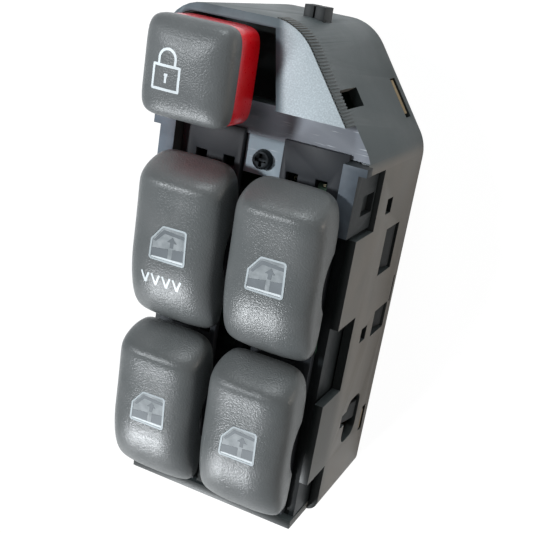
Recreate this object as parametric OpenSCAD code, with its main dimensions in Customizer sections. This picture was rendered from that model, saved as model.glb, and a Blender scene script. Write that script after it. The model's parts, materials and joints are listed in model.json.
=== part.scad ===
// Four-rocker power window switch with a lock-out push button, for a door armrest.
// Frame: +Z up out of the button faces, +Y towards the lock button, +X to the right-hand rockers.
// The origin is the middle of the base. All sizes are in millimetres.

/* [Housing] */
// Width of the outer housing over its side walls
body_w = 50.4; // [49:0.2:54]
// Length of the outer housing from the near end wall to the far end wall
body_len = 118.4; // [116:0.2:124]
// Height of the deck beside the lock button, over the ledge
deck_h = 6; // [4:0.5:8]
// Height of the lower ledge between the deck and the rockers, over the upper board
ledge_h = 14.2; // [13.2:0.1:14.7]
// Depth of the deck and ledge together, from the far end wall
ledge_depth = 25.7; // [25:0.1:27]
// Depth of the deck alone, from the far end wall
deck_depth = 18.5; // [17:0.1:19.5]
// Thickness of the housing's walls
wall = 2.2; // [1.6:0.1:2.4]
// Angle of the slanted far corner, from the side wall
taper_angle = 36.8; // [30:0.2:42]
// Radius where the slanted corner leaves the side wall
taper_side_r = 10; // [6:1:14]
// Radius where the slanted corner meets the far end wall
taper_end_r = 12; // [8:1:14]
// Radius of the far corner behind the lock button
lock_corner_r = 9; // [6:0.5:9]
// Radius of the two near corners
near_corner_r = 3; // [2.5:0.5:4]

/* [Side walls] */
// Height of the flaps on the side walls, over the ledge
flap_h = 0.8; // [-1:0.2:2]
// Length of each flap
flap_len = 21.3; // [18:0.1:23]
// How far each flap's middle lies nearer than its rocker's pivot
flap_shift = 1.95; // [0:0.05:4]
// Height of the side walls between the flaps, over the upper board
recess_h = 4; // [2.2:0.2:5.2]
// Size of the small square slots in the side walls
slot_size = 3.8; // [3:0.1:4.4]
// Width of the window in the slanted wall
corner_window_w = 4.3; // [3:0.1:6]
// Height of the window in the slanted wall
corner_window_h = 10.2; // [6:0.2:10.6]
// Spacing of the small ribs under the slanted edge of the deck
grip_pitch = 0.75; // [0.6:0.05:1.8]

/* [Rockers] */
// Distance between the two columns of rockers
column_pitch = 24; // [23.6:0.1:24.6]
// Distance between the two rows of rockers
row_pitch = 40.7; // [40.2:0.1:42]
// Distance from the near end wall to the pivots of the near row
near_row_in = 26.3; // [26:0.1:27.5]
// Width of a rocker cap
cap_w = 22; // [21:0.1:23]
// Reach of a rocker cap from its pivot towards the far end
cap_far = 19.7; // [18.5:0.1:20]
// Reach of a rocker cap from its pivot towards the near end
cap_near = 19.3; // [18.5:0.1:19.8]
// Height of the caps' lower rim over the cover plates
cap_rim_h = 6.2; // [5.6:0.1:7]
// Height of the caps' faces at the icons, over the lower rim
face_h = 8.8; // [7.8:0.2:9.8]
// Height of the soft ridge across each cap's far part, over its face
cap_ridge_h = 0.8; // [0.4:0.1:1.4]
// Thickness of the caps' walls
cap_wall = 1.6; // [1.2:0.1:2]
// Length of the arch in each side of a cap's lower rim
arch_len = 14; // [10:0.5:15]
// Height of that arch
arch_h = 3; // [2:0.1:3.4]
// Width of the icon windows
icon_w = 9.2; // [7:0.1:10]
// Height of the rocker pivots over the cover plates
pivot_h = 2; // [1.4:0.1:2.4]
// Radius of the pivot pins
pin_r = 1.25; // [1:0.05:1.4]

/* [Lock button] */
// Width of the lock cap
lock_w = 21; // [19:0.2:21.2]
// Length of the lock cap
lock_len = 21; // [19:0.2:21.2]
// Distance of the lock button's middle from the middle of the object, to the left
lock_x = 12.1; // [11.8:0.1:12.2]
// Distance of the lock button's middle from the far end wall
lock_in = 12.9; // [12.8:0.1:13.2]
// Height of the red sleeve's lower rim over the pocket's floor, button raised
sleeve_rim_h = 12.1; // [9:0.1:12.4]
// Height of the lock cap's lower rim over the deck
lock_rim_h = 8.6; // [5.4:0.1:9]
// Height of the lock cap over its lower rim
lock_cap_h = 4.9; // [4:0.1:6]
// Travel of the lock button
lock_travel = 2.6; // [1.5:0.1:2.6]
// Depth of the pocket around the lock button, below the deck
pocket_depth = 12; // [10:0.5:13]

/* [Boards] */
// Thickness of the two circuit boards
board_t = 1.6; // [1:0.1:1.6]
// Height of the upper board's top face over the lower board
contact_board_h = 20; // [19.2:0.1:20.6]
// Height of the lower board's underside
main_board_h = 3.2; // [3:0.1:3.4]
// Thickness of the base cover
cover_t = 2; // [1.4:0.1:2.2]

/* [Carrier] */
// Height of the cover plates over the ledge that carries their far ends
plate_h = 1; // [0.4:0.1:1.2]
// Thickness of the cover plates
plate_t = 2; // [1.4:0.1:2.4]
// Width of the cover plates
plate_w = 15.3; // [15:0.1:15.5]
// Height of the carrier's side hooks over the cover plates
hook_h = 3.6; // [2.6:0.1:4]
// Reach of the hooks past the carrier's side lugs
hook_out = 1.8; // [1:0.1:2]
// Thickness of the carrier's walls
carrier_wall = 2.3; // [1.6:0.1:2.6]

/* [Connector] */
// Outside width of the connector's shroud
plug_w = 36; // [34:0.5:40]
// Outside height of the connector's shroud
plug_h = 12.2; // [11:0.2:14]
// Depth of the connector's socket
plug_depth = 13; // [12:0.5:15]
// Number of pins in each of the connector's two rows
pin_count = 7; // [4:1:8]

/* [Clip] */
// How far the far end's clip stands out
clip_out = 2.6; // [2:0.1:4]

/* [Hidden] */

eps = 0.5; // how far a cutting tool runs past a face
fit = 0.3; // gap between two pieces that are assembled
sink = 0.1; // how far a feature reaches into the solid that carries it
slide_gap = 0.12; // gap of a sliding piece to its guide
run_gap = 0.05; // radial clearance of a turning lever on its pin

half_w = body_w / 2;
near_y = -(body_len + clip_out) / 2;
far_y = near_y + body_len;
ledge_y = far_y - ledge_depth;
deck_y = far_y - deck_depth;
corner_x = half_w - ledge_depth * tan(taper_angle);

near_row_y = near_y + near_row_in;
far_row_y = near_row_y + row_pitch;
rows = [near_row_y, far_row_y];
columns = [-column_pitch / 2, column_pitch / 2];
DRIVER = [columns[0], far_row_y];
PASSENGER = [columns[1], far_row_y];
REAR_LEFT = [columns[0], near_row_y];
REAR_RIGHT = [columns[1], near_row_y];
rocker_places = [DRIVER, PASSENGER, REAR_LEFT, REAR_RIGHT];

// Levels over the base, each set from the one that carries it
main_board_top = main_board_h + board_t;
board_level = main_board_top + contact_board_h;
ledge_level = board_level + ledge_h;
deck_level = ledge_level + deck_h;
flap_level = ledge_level + flap_h;
recess_level = board_level + recess_h;
plate_level = ledge_level + plate_h;
carrier_top = plate_level - plate_t;
hook_level = plate_level + hook_h;
pivot_level = plate_level + pivot_h;
rim_level = plate_level + cap_rim_h;
face_level = rim_level + face_h;
pocket_floor = deck_level - pocket_depth;
pocket_wall = 1.6;
sleeve_level = pocket_floor + sleeve_rim_h;
lock_rim_level = deck_level + lock_rim_h;
lock_top = lock_rim_level + lock_cap_h;

// Rocker lever and slider
hub_r = 3.2;
hub_w = 8;
arm_w = 3.2;
arm_t = 2.6;
tip_r = 1.5;
tip_h = board_level + 3.2;
post_w = 10;
post_len = 12;
post_top = face_level - 3.4;
slider_w = 10.4;
slider_len = 11;
slider_h = 4.4;
slider_base = board_level + slide_gap;
well_len = 21;
ear_t = 1.6;
ear_gap = 0.25;
ear_len = 7;
spring_h = carrier_top - 1.2;
spring_t = 0.3;
spring_w = 6.4;
spring_leg = 1.5;
heel_gap = 0.15;

// Screw tongues and screws
tongue_w = 9.2;
tongue_len = 8.7;
tongue_top = ledge_level - 0.4;
tongue_t = 2.6;
screw_r = 1.3;
screw_head_r = 2.35;
screw_head_h = 1.7;
screw_len = 9;
screw_in = 5;
boss_r = 3.2;
far_screw_y = ledge_y - screw_in;
near_screw_y = near_y + wall + screw_in;
screw_places = [far_screw_y, near_screw_y];

// Windows of the base cover's latches, as middle along the side, width, top and corner radius
latch_windows = [
    [far_row_y + 1, 12, 18, 0],
    [far_row_y - 19.3, 7, 13, 0],
    [near_row_y - 4.8, 12.5, 19.6, 3]
];
window_h = 9.6;
// Latch arms, as middle along the side and width
latch_arms = [
    [latch_windows[0][0], latch_windows[0][1] - 0.8],
    [latch_windows[1][0], latch_windows[1][1] - 0.8],
    [latch_windows[2][0] + 0.75, 5]
];
latch_t = 1.3;
barb_out = 1.7;

// Small slots in the side walls, as middle along the side and height
side_slots = [[far_row_y + 13.3, 20.4], [far_row_y - 20, 19.4], [near_row_y - 2.95, 20.8]];
board_slot_len = 7.6;
board_slot_y = near_row_y - 9.4;
board_tab_len = board_slot_len - 1.8;
corner_slot_len = 10.1;
corner_slot_at = 12.45;
corner_window_at = 14.85;
corner_window_drop = 5.2;
pry_slot_len = 7.3;
pry_slot_h = 0.8;
pry_slot_y = far_row_y - 12.5;

// Points of a round corner between the lines from a to b and from b to c
function turn(a, b, c, r, steps = 8) =
    let(
        u = (a - b) / norm(a - b),
        v = (c - b) / norm(c - b),
        half = acos(u * v) / 2,
        middle = b + (u + v) / norm(u + v) * r / sin(half),
        start = b + u * r / tan(half) - middle,
        stop = b + v * r / tan(half) - middle,
        from = atan2(start[1], start[0]),
        sweep = (atan2(stop[1], stop[0]) - from + 540) % 360 - 180
    )
    [for (i = [0:steps]) middle + r * [cos(from + sweep * i / steps), sin(from + sweep * i / steps)]];

// Outline of the housing, drawn in by an inset
function housing_outline(inset) =
    let(
        x = half_w - inset,
        slant_x = corner_x - inset * tan((90 - taper_angle) / 2),
        p = [
            [-x, near_y + inset],
            [x, near_y + inset],
            [x, ledge_y - inset * tan(taper_angle / 2)],
            [slant_x, far_y - inset],
            [-x, far_y - inset]
        ]
    )
    concat(
        turn(p[4], p[0], p[1], max(near_corner_r - inset, 0.6)),
        turn(p[0], p[1], p[2], max(near_corner_r - inset, 0.6)),
        turn(p[1], p[2], p[3], taper_side_r - inset),
        turn(p[2], p[3], p[4], taper_end_r - inset),
        turn(p[3], p[4], p[0], lock_corner_r - inset)
    );

// Block given by its middle in plan, its size in plan and its lowest and highest level
module block(at, size, low, high) {
    translate([at[0] - size[0] / 2, at[1] - size[1] / 2, low])
        cube([size[0], size[1], high - low]);
}

// Block between two corners in plan
module slab(x, y, z) {
    translate([x[0], y[0], z[0]])
        cube([x[1] - x[0], y[1] - y[0], z[1] - z[0]]);
}

// Cylinder along X
module rod_x(r, length, at) {
    translate([at[0] - length / 2, at[1], at[2]])
        rotate([0, 90, 0])
            cylinder(r = r, h = length, $fn = 32);
}

// Both sides of what is drawn on the right
module both_sides() {
    children();
    mirror([1, 0, 0])
        children();
}

// Frame on the slanted wall: X along it from the side wall, Y inwards, origin at its start
module on_slanted_wall(along) {
    translate([half_w, ledge_y, 0])
        rotate([0, 0, 90 + taper_angle])
            translate([along, 0, 0])
                children();
}

// Outline of the opening around the lock button; its right edge slants with the deck
lock_place = [-lock_x, far_y - lock_in];
pocket_rim = 2;
pocket_right_near = 3.9;
pocket_right_far = 1;
pocket_corner_r = 5;
function pocket_outline(grow) =
    let(
        left = -half_w + pocket_rim - grow,
        far = far_y - pocket_rim + grow,
        p = [
            [left, deck_y - grow],
            [pocket_right_near + grow, deck_y - grow],
            [pocket_right_far + grow, far],
            [left, far]
        ]
    )
    concat([p[0], p[1], p[2]], turn(p[2], p[3], p[0], pocket_corner_r + grow));

// Space inside the housing under the deck and the ledge
module housing_cavity() {
    translate([0, 0, -eps])
        linear_extrude(ledge_level - wall + eps)
            polygon(housing_outline(wall));
    intersection() {
        translate([0, 0, -eps])
            linear_extrude(deck_level - wall + eps)
                polygon(housing_outline(wall));
        slab([-half_w, half_w], [deck_y + wall, far_y], [0, deck_level]);
    }
}

module pocket_block(grow, low, high) {
    translate([0, 0, low])
        linear_extrude(high - low)
            polygon(pocket_outline(grow));
}

module screw_tongues() {
    top = tongue_top;
    slab([-tongue_w / 2, tongue_w / 2], [ledge_y - tongue_len, ledge_y + wall], [top - tongue_t, top]);
    slab([-tongue_w / 2, tongue_w / 2], [near_y + 1, near_y + wall + tongue_len], [top - tongue_t, top]);
}

// Low ribs inside the side walls that the upper board rests on
module board_rests() {
    both_sides()
        for (y = [far_row_y + 17, far_row_y - 29, near_row_y - 17])
            slab([half_w - wall - 1.4, half_w - wall + sink], [y, y + 2], [8, board_level - board_t]);
}

recess_far = ledge_y - 2.5;

module side_recesses() {
    spans = [
        [near_y - eps, near_row_y - flap_shift - flap_len / 2],
        [near_row_y - flap_shift + flap_len / 2, far_row_y - flap_shift - flap_len / 2],
        [far_row_y - flap_shift + flap_len / 2, recess_far]
    ];
    both_sides()
        for (span = spans)
            slab([half_w - wall - 0.3, half_w + eps], span, [recess_level, deck_level + eps]);
}

module side_windows() {
    cut = 4 * wall;
    both_sides() {
        for (window = latch_windows)
            latch_window(window, cut);
        for (slot = side_slots)
            block([half_w, slot[0]], [cut, slot_size], slot[1] - slot_size / 2, slot[1] + slot_size / 2);
        block([half_w, board_slot_y], [cut, board_slot_len], main_board_h - 2 * fit, main_board_top + fit);
        block([half_w, pry_slot_y], [cut, pry_slot_len], cover_t - pry_slot_h / 2, cover_t + pry_slot_h / 2);
    }
    window_top = deck_level - corner_window_drop;
    on_slanted_wall(corner_window_at)
        block([0, 0], [corner_window_w, cut], window_top - corner_window_h, window_top);
    on_slanted_wall(corner_slot_at)
        block([0, 0], [corner_slot_len, cut], main_board_h - 2 * fit, main_board_top + 4 * fit);
}

// Cutting tool of one latch window, square or with round corners
module latch_window(window, cut) {
    half = window[1] / 2;
    low = window[2] - window_h;
    r = window[3];
    block([half_w, window[0]], [cut, window[1] - 2 * r], low, window[2]);
    if (r > 0) {
        block([half_w, window[0]], [cut, window[1]], low + r, window[2] - r);
        for (dy = [r - half, half - r], z = [low + r, window[2] - r])
            rod_x(r, cut, [half_w, window[0] + dy, z]);
    }
}

// Small upright ribs under the deck's edge, along the slanted wall and round its far corner
grip_w = 0.4;
grip_h = 5.4;
grip_from = (ledge_depth - deck_depth) / cos(taper_angle) + grip_w;

module grip_ribs() {
    straight = ledge_depth / cos(taper_angle) - taper_end_r * tan((90 - taper_angle) / 2);
    step = grip_pitch / taper_end_r * 180 / PI;
    low = deck_level - grip_h - 0.4;
    for (along = [grip_from:grip_pitch:straight])
        on_slanted_wall(along)
            block([0, 0], [grip_w, grip_w], low, low + grip_h);
    for (angle = [step / 2:step:90 - taper_angle - step / 2])
        on_slanted_wall(straight)
            translate([0, taper_end_r, 0])
                rotate([0, 0, angle])
                    block([0, -taper_end_r], [grip_w, grip_w], low, low + grip_h);
}

// End clip's place on the far wall
clip_x = corner_x - 5.1;
clip_z = board_level - 1.2;
clip_w = 5.2;
clip_h = 4.8;
clip_flange = 1;
clip_flange_t = 1.5;
clip_back = 2.3;
clip_flange_y = far_y - wall - clip_back - clip_flange_t;

module outer_housing() {
    color([0.3, 0.3, 0.3])
        difference() {
            union() {
                difference() {
                    linear_extrude(deck_level)
                        polygon(housing_outline(0));
                    housing_cavity();
                    slab(
                        [-half_w - eps, half_w + eps],
                        [ledge_y, deck_y],
                        [ledge_level, deck_level + eps]
                    );
                    slab(
                        [-half_w - eps, half_w + eps],
                        [near_y - eps, ledge_y + 0.01],
                        [flap_level, deck_level + eps]
                    );
                    slab([-half_w + wall, half_w - wall], [near_y + wall, ledge_y], [-eps, deck_level]);
                }
                intersection() {
                    pocket_block(pocket_wall, pocket_floor - pocket_wall, deck_level - 0.1);
                    linear_extrude(deck_level)
                        polygon(housing_outline(0));
                    slab([-half_w, half_w], [deck_y - pocket_wall, far_y], [0, deck_level]);
                    union() {
                        slab([-half_w, half_w], [deck_y, far_y], [0, deck_level]);
                        slab([-half_w, half_w], [deck_y - pocket_wall, deck_y], [0, ledge_level - 0.1]);
                    }
                }
                screw_tongues();
                board_rests();
                grip_ribs();
            }
            pocket_block(0, pocket_floor, deck_level + eps);
            block(lock_place, [4.2, 4.2], pocket_floor - pocket_wall - eps, pocket_floor + eps);
            side_recesses();
            side_windows();
            for (y = screw_places)
                translate([0, y, 0])
                    cylinder(r = screw_r + 0.2, h = deck_level, $fn = 32);
            slab(
                [-plug_w / 2 - 0.2, plug_w / 2 + 0.2],
                [near_y - eps, near_y + wall + eps],
                [main_board_top - 0.2, main_board_top + plug_h + 0.2]
            );
            block(
                [clip_x, far_y],
                [clip_w + 0.2, 4 * wall],
                clip_z - clip_h / 2 - 0.1,
                clip_z + clip_h / 2 + 0.1
            );
        }
}

module base_cover() {
    color([0.16, 0.16, 0.17])
        union() {
            linear_extrude(cover_t)
                polygon(housing_outline(wall + fit / 2));
            for (x = [-16, 0, 16])
                slab([x - 0.8, x + 0.8], [near_y + 25, ledge_y - 4], [cover_t - sink, main_board_h]);
            both_sides()
                for (i = [0:len(latch_windows) - 1])
                    latch_arm(latch_arms[i], latch_windows[i][2]);
        }
}

// Arm with a ramped barb that catches on the lower edge of its window
module latch_arm(arm, window_top) {
    face = half_w - wall - fit / 2;
    low = window_top - window_h + fit / 2;
    translate([0, arm[0] + arm[1] / 2, 0])
        rotate([90, 0, 0])
            linear_extrude(arm[1])
                polygon([
                    [face - latch_t, cover_t / 2],
                    [face, cover_t / 2],
                    [face, low],
                    [face + barb_out, low],
                    [face + barb_out, low + 1.2],
                    [face, window_top - 0.6],
                    [face - 0.3, window_top + 0.6],
                    [face - latch_t, window_top + 0.6]
                ]);
}

board_gap = 0.35;

module board_outline() {
    polygon(housing_outline(wall + board_gap));
}

module main_board() {
    tab_w = wall + 1;
    tab_y = board_slot_y - board_slot_len / 2 + fit + board_tab_len / 2;
    color([0.62, 0.5, 0.3])
        difference() {
            translate([0, 0, main_board_h])
                linear_extrude(board_t)
                    union() {
                        board_outline();
                        for (side = [-1, 1])
                            translate([side * (half_w - fit - tab_w / 2), tab_y])
                                square([tab_w, board_tab_len], center = true);
                        translate([half_w, ledge_y])
                            rotate(90 + taper_angle)
                                translate([corner_slot_at - corner_slot_len / 2 + 1, fit])
                                    square([corner_slot_len - 1 - fit, wall + 1]);
                    }
            both_sides()
                for (arm = latch_arms)
                    slab(
                        [half_w - wall - fit / 2 - latch_t - fit, half_w - wall + eps],
                        [arm[0] - arm[1] / 2 - fit, arm[0] + arm[1] / 2 + fit],
                        [main_board_h - eps, main_board_top + eps]
                    );
            for (leg = pin_legs())
                block(leg, [1.2, 1.2], main_board_h - eps, main_board_top + eps);
            for (leg = link_places())
                block(leg, [0.9, 0.9], main_board_h - eps, main_board_top + eps);
        }
}

// Right-angle socket on the lower board, its mouth in the near end wall
plug_wall = 1.7;
plug_back = 2.4;
mouth_y = near_y + 0.3;
pin_margin = 1.6;
pin_pitch = (plug_w - 2 * (plug_wall + pin_margin)) / pin_count;
pin_reach = 7;
pin_size = 0.8;
pin_rows = [[main_board_top + 4, 3], [main_board_top + 8.2, 5.4]];
function pin_x(i) = (i - (pin_count - 1) / 2) * pin_pitch;
function pin_legs() = [
    for (row = pin_rows, i = [0:pin_count - 1])
        [pin_x(i), mouth_y + plug_depth + plug_back + row[1]]
];

module connector_shroud() {
    color([0.08, 0.08, 0.09])
        difference() {
            union() {
                slab(
                    [-plug_w / 2, plug_w / 2],
                    [mouth_y, mouth_y + plug_depth + plug_back],
                    [main_board_top, main_board_top + plug_h]
                );
                both_sides()
                    slab(
                        [plug_w / 2 - 3, plug_w / 2],
                        [mouth_y + plug_depth, mouth_y + plug_depth + plug_back + 6],
                        [main_board_top, main_board_top + 5]
                    );
            }
            slab(
                [-plug_w / 2 + plug_wall, plug_w / 2 - plug_wall],
                [mouth_y - eps, mouth_y + plug_depth],
                [main_board_top + plug_wall, main_board_top + plug_h - plug_wall]
            );
            for (row = pin_rows, i = [0:pin_count - 1])
                block(
                    [pin_x(i), mouth_y + plug_depth + plug_back / 2],
                    [pin_size + 0.02, 2 * plug_back],
                    row[0] - pin_size / 2 - 0.01,
                    row[0] + pin_size / 2 + 0.01
                );
        }
}

module connector_pins() {
    color([0.75, 0.68, 0.45])
        for (row = pin_rows, i = [0:pin_count - 1]) {
            leg_y = mouth_y + plug_depth + plug_back + row[1];
            union() {
                slab(
                    [pin_x(i) - pin_size / 2, pin_x(i) + pin_size / 2],
                    [mouth_y + plug_depth - pin_reach, leg_y + pin_size / 2],
                    [row[0] - pin_size / 2, row[0] + pin_size / 2]
                );
                block([pin_x(i), leg_y], [pin_size, pin_size], main_board_h + 0.1, row[0]);
            }
        }
}

relay_place = [3, (near_row_y + far_row_y) / 2 - 5];
relay_w = 15.6;
relay_len = 19.2;
relay_h = 14;
relay_foot = 1.2;
relay_stand = 0.6;

module auto_down_relay() {
    color([0.1, 0.1, 0.1])
        translate([0, 0, main_board_top])
            union() {
                block(relay_place, [relay_w, relay_len], relay_stand, relay_stand + relay_h);
                for (dx = [-1, 1], dy = [-1, 1])
                    block(
                        relay_place + [dx * (relay_w / 2 - 1.8), dy * (relay_len / 2 - 1.6)],
                        [relay_foot, relay_foot],
                        0,
                        relay_stand + sink
                    );
            }
}

link_count = 9;
link_pitch = 2.54;
link_base = 2.5;
link_pin = 0.64;
link_y = far_row_y + 15;
function link_places() = [
    for (i = [0:link_count - 1])
        [(i - (link_count - 1) / 2) * link_pitch, link_y]
];

module link_header() {
    color([0.09, 0.09, 0.1])
        difference() {
            block(
                [0, link_y],
                [link_count * link_pitch, link_base],
                main_board_top,
                main_board_top + link_base
            );
            for (place = link_places())
                block(
                    place,
                    [link_pin + 0.02, link_pin + 0.02],
                    main_board_top - eps,
                    main_board_top + link_base + eps
                );
        }
}

module link_pins() {
    color([0.8, 0.72, 0.45])
        for (place = link_places())
            block(place, [link_pin, link_pin], main_board_h + 0.1, board_level - 0.1);
}

module contact_board() {
    color([0.2, 0.35, 0.22])
        difference() {
            translate([0, 0, board_level - board_t])
                linear_extrude(board_t)
                    board_outline();
            for (place = link_places())
                block(place, [0.9, 0.9], board_level - board_t - eps, board_level + eps);
            slab(
                [clip_x - clip_w / 2 - clip_flange - fit, clip_x + clip_w / 2 + clip_flange + fit],
                [clip_flange_y - fit, far_y],
                [board_level - board_t - eps, board_level + eps]
            );
        }
}

carrier_side = half_w - wall - 0.4;
carrier_near = near_y + wall + 0.4;
carrier_far = ledge_y - 0.2;
lug_w = 1.5;
lug_wall = 3.8;
lug_near = far_row_y - flap_shift + flap_len / 2 + 1;

module switch_carrier() {
    color([0.26, 0.28, 0.3])
        difference() {
            union() {
                difference() {
                    slab(
                        [-carrier_side, carrier_side],
                        [carrier_near, carrier_far],
                        [board_level, carrier_top]
                    );
                    slab(
                        [-carrier_side + carrier_wall, carrier_side - carrier_wall],
                        [carrier_near + carrier_wall, carrier_far - carrier_wall],
                        [board_level - eps, carrier_top + eps]
                    );
                }
                slab(
                    [-0.9, 0.9],
                    [carrier_near + 1, carrier_far - 1],
                    [board_level, tongue_top - tongue_t - 0.3]
                );
                for (y = screw_places)
                    translate([0, y, board_level])
                        cylinder(r = boss_r, h = tongue_top - tongue_t - board_level, $fn = 32);
                for (place = rocker_places)
                    rocker_well(place);
                for (y = rows, side = [-1, 1])
                    block(
                        [0, y + side * (well_len + carrier_wall) / 2],
                        [2 * carrier_side - 1, carrier_wall],
                        board_level,
                        carrier_top
                    );
                both_sides()
                    side_lug();
            }
            slab(
                [-tongue_w / 2 - fit, tongue_w / 2 + fit],
                [ledge_y - tongue_len - fit, ledge_y + eps],
                [tongue_top - tongue_t, carrier_top + eps]
            );
            slab(
                [-tongue_w / 2 - fit, tongue_w / 2 + fit],
                [near_y, near_y + wall + tongue_len + fit],
                [tongue_top - tongue_t, carrier_top + eps]
            );
            for (y = screw_places)
                translate([0, y, tongue_top - screw_len])
                    cylinder(r = screw_r, h = screw_len, $fn = 32);
        }
}

// Walls of one well with the slider's channel, and the two ears of the pivot
module rocker_well(place) {
    channel = slider_w + 2 * slide_gap;
    difference() {
        union() {
            block(
                place,
                [channel + 2 * carrier_wall, well_len + 2 * carrier_wall],
                board_level,
                carrier_top
            );
            for (side = [-1, 1])
                pivot_ear([place[0] + side * (hub_w / 2 + ear_gap + ear_t / 2), place[1]]);
        }
        block(place, [channel, well_len], board_level - eps, carrier_top - 3);
        block(place, [hub_w + 2 * ear_gap, well_len], board_level - eps, carrier_top + eps);
        rod_x(pin_r, column_pitch, [place[0], place[1], pivot_level]);
    }
}

module pivot_ear(at) {
    block(at, [ear_t, ear_len], carrier_top - 3, pivot_level);
    rod_x(ear_len / 2, ear_t, [at[0], at[1], pivot_level]);
}

module side_lug() {
    outer = carrier_side + lug_w;
    difference() {
        union() {
            slab([outer - lug_wall, outer], [lug_near, carrier_far], [recess_level + 0.8, hook_level]);
            slab(
                [outer - sink, outer + hook_out],
                [carrier_far - 1.8, carrier_far],
                [hook_level - 3, hook_level]
            );
        }
        slab(
            [outer - 1.4, outer + eps],
            [lug_near + 3.9, lug_near + 8.5],
            [recess_level + 1.6, recess_level + 8.6]
        );
        slab([0, carrier_side - carrier_wall], [near_y, far_y], [0, carrier_top]);
        slab([carrier_side, half_w + eps], [recess_far - fit, far_y], [0, flap_level + fit]);
    }
}

plate_near = carrier_near + 0.6;
plate_far = ledge_y + 1;
plate_shift = 0.55;
lamp_shift = 0.65;
lamp_hole = [2.8, 2.4];
lamp_spread = 3.55;
lamp_r = 1.5;
lamp_h = 3;
lamp_tip = 1.2;
lamp_from_pivot = 18.6;
lever_hole_w = hub_w + 2 * (ear_gap + ear_t + 0.2);

module cover_plate(side) {
    middle = side * (column_pitch / 2 + plate_shift);
    color([0.2, 0.21, 0.23])
        difference() {
            slab(
                [middle - plate_w / 2, middle + plate_w / 2],
                [plate_near, plate_far],
                [carrier_top, plate_level]
            );
            slab([middle - plate_w, middle + plate_w], [ledge_y - 0.05, far_y], [0, ledge_level]);
            for (y = rows) {
                block([side * column_pitch / 2, y], [lever_hole_w, well_len - 4], 0, deck_level);
                for (dx = [-lamp_spread, lamp_spread])
                    block(
                        [side * (column_pitch / 2 - lamp_shift) + dx, y + lamp_from_pivot],
                        lamp_hole,
                        0,
                        deck_level
                    );
            }
        }
}

module left_cover_plate() {
    cover_plate(-1);
}

module right_cover_plate() {
    cover_plate(1);
}

module case_screws() {
    color([0.07, 0.07, 0.08])
        for (y = screw_places)
            translate([0, y, tongue_top])
                difference() {
                    union() {
                        translate([0, 0, -screw_len + 0.3])
                            cylinder(r = screw_r - 0.02, h = screw_len, $fn = 32);
                        cylinder(r1 = screw_head_r, r2 = screw_head_r - 0.35, h = screw_head_h, $fn = 40);
                    }
                    for (turn_angle = [0, 90])
                        rotate([0, 0, turn_angle])
                            block([0, 0], [2.9, 0.75], screw_head_h - 1.1, screw_head_h + eps);
                }
}

module end_clip() {
    color([0.1, 0.12, 0.12])
        union() {
            for (dx = [-1, 1])
                block(
                    [clip_x + dx * (clip_w / 4 + 0.05), far_y + clip_out / 2 - wall / 2],
                    [clip_w / 2 - 0.3, clip_out + wall],
                    clip_z - clip_h / 2,
                    clip_z + clip_h / 2
                );
            slab(
                [clip_x - clip_w / 2, clip_x + clip_w / 2],
                [clip_flange_y + clip_flange_t - sink, far_y],
                [clip_z - clip_h / 4, clip_z + clip_h / 4]
            );
            slab(
                [clip_x - clip_w / 2 - clip_flange, clip_x + clip_w / 2 + clip_flange],
                [clip_flange_y, clip_flange_y + clip_flange_t],
                [clip_z - clip_h / 2 - 1, clip_z + clip_h / 2 + 1]
            );
        }
}

module icon_lamps() {
    color([0.9, 0.9, 0.85])
        for (place = rocker_places) {
            side = place[0] > 0 ? 1 : -1;
            lamp = place + [-side * (lamp_shift + lamp_spread), lamp_from_pivot];
            translate([lamp[0], lamp[1], board_level]) {
                cylinder(r = lamp_r, h = lamp_h, $fn = 32);
                translate([0, 0, lamp_h])
                    cylinder(r1 = lamp_r, r2 = lamp_r / 2, h = lamp_tip, $fn = 32);
            }
        }
}

module pivot_pins() {
    color([0.75, 0.75, 0.77])
        for (place = rocker_places)
            rod_x(pin_r - 0.01, hub_w + 2 * (ear_gap + ear_t), [place[0], place[1], pivot_level]);
}

// Outline of a cap in plan: a soft rectangle whose near edge bows out
plan_steps = 40;
plan_power = 0.36;
near_power = 0.26;
near_bow = 0.9;
function soft(v, power) = sign(v) * pow(abs(v), power);
function cap_plan(angle, half_x, far, near) =
    let(
        power = sin(angle) > 0 ? plan_power : near_power,
        u = soft(cos(angle), power),
        v = soft(sin(angle), power),
        y = v > 0 ? v * far : v * (near - near_bow * u * u)
    )
    [half_x * u, y];

// Height of the face along the cap: a slope, a ridge, a flat middle and a rounded near part
ridge_at = 14.3;
bend_at = -2;
function face_along(y) =
    y > ridge_at ? cap_ridge_h - 0.62 * pow(y - ridge_at, 1.35)
    : y > bend_at ? cap_ridge_h * pow((y - bend_at) / (ridge_at - bend_at), 3)
    : -0.0127 * pow(bend_at - y, 2.15);

shoulder = 6;
cap_rings = [1, 0.996, 0.985, 0.965, 0.93, 0.88, 0.8, 0.68, 0.5, 0.28];
function ring_height(s) = pow(1 - pow(s, shoulder), 1 / shoulder);
function cap_point(s, angle, half_x, far, near, rim, top) =
    let(p = s * cap_plan(angle, half_x, far, near))
    [p[0], p[1], rim + (top + face_along(p[1]) - rim) * ring_height(s)];

// Closed skin of rings that ends in a point in the middle of the face
module ring_skin(rings, pole) {
    n = len(rings[0]);
    count = len(rings);
    points = concat([for (ring = rings) each ring], [pole]);
    sides = [
        for (r = [0:count - 2], i = [0:n - 1])
            [r * n + i, (r + 1) * n + i, (r + 1) * n + (i + 1) % n, r * n + (i + 1) % n]
    ];
    last = (count - 1) * n;
    crown = [for (i = [0:n - 1]) [last + i, count * n, last + (i + 1) % n]];
    polyhedron(points = points, faces = concat([[for (i = [0:n - 1]) i]], sides, crown), convexity = 4);
}

function plan_angles() = [for (i = [0:plan_steps - 1]) i * 360 / plan_steps + 180 / plan_steps];

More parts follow.
